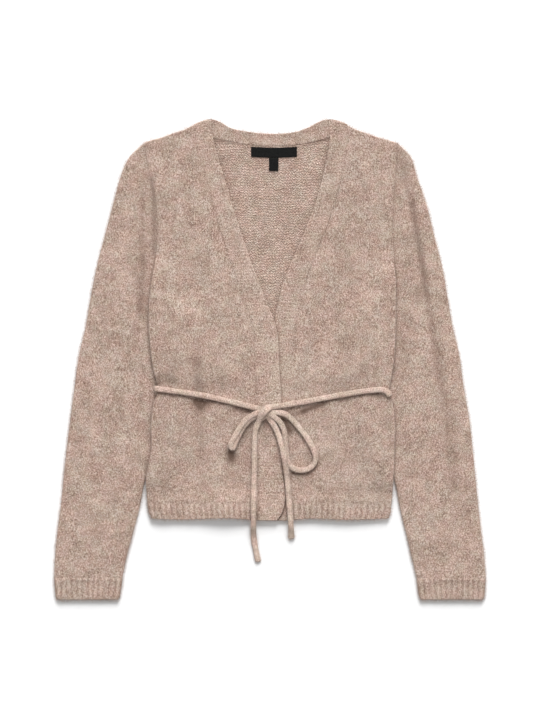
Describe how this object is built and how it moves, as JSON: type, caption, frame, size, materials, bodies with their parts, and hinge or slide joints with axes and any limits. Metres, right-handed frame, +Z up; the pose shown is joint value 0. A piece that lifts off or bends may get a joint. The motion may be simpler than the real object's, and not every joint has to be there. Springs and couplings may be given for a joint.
{
  "type": "cardigan",
  "caption": "Knitted V-neck cardigan with wrapped fronts, ribbed hem and cuffs and a cord tie bowed at the waist, laid flat with the front side up.",
  "frame": {"origin": "centre of the box around the garment, on the surface it lies on", "axes": "+Z up from the surface through the front side, +Y towards the collar, +X towards the wearer's left sleeve"},
  "size_m": [0.604, 0.672, 0.0257],
  "materials": {
    "knit": "brushed heather knit, matt",
    "ribbing": "ribbed heather knit, matt",
    "tie": "knitted tube cord, matt",
    "label": "woven ribbon, slight sheen"
  },
  "bodies": {
    "root": {"back": "knit", "front_right": "knit", "front_left": "knit", "sleeve_right": "knit", "sleeve_left": "knit", "band_front_right": "ribbing", "band_front_left": "ribbing", "band_back_neck": "ribbing", "hem_back": "ribbing", "hem_front_right": "ribbing", "hem_front_left": "ribbing", "cuff_right": "ribbing", "cuff_left": "ribbing", "label_main": "label", "label_size": "label", "tie_right": "tie", "tie_left": "tie", "bow_loop_right": "tie", "bow_loop_left": "tie", "tie_end_right": "tie", "tie_end_left": "tie", "bow_knot": "tie"}
  },
  "joints": []
}
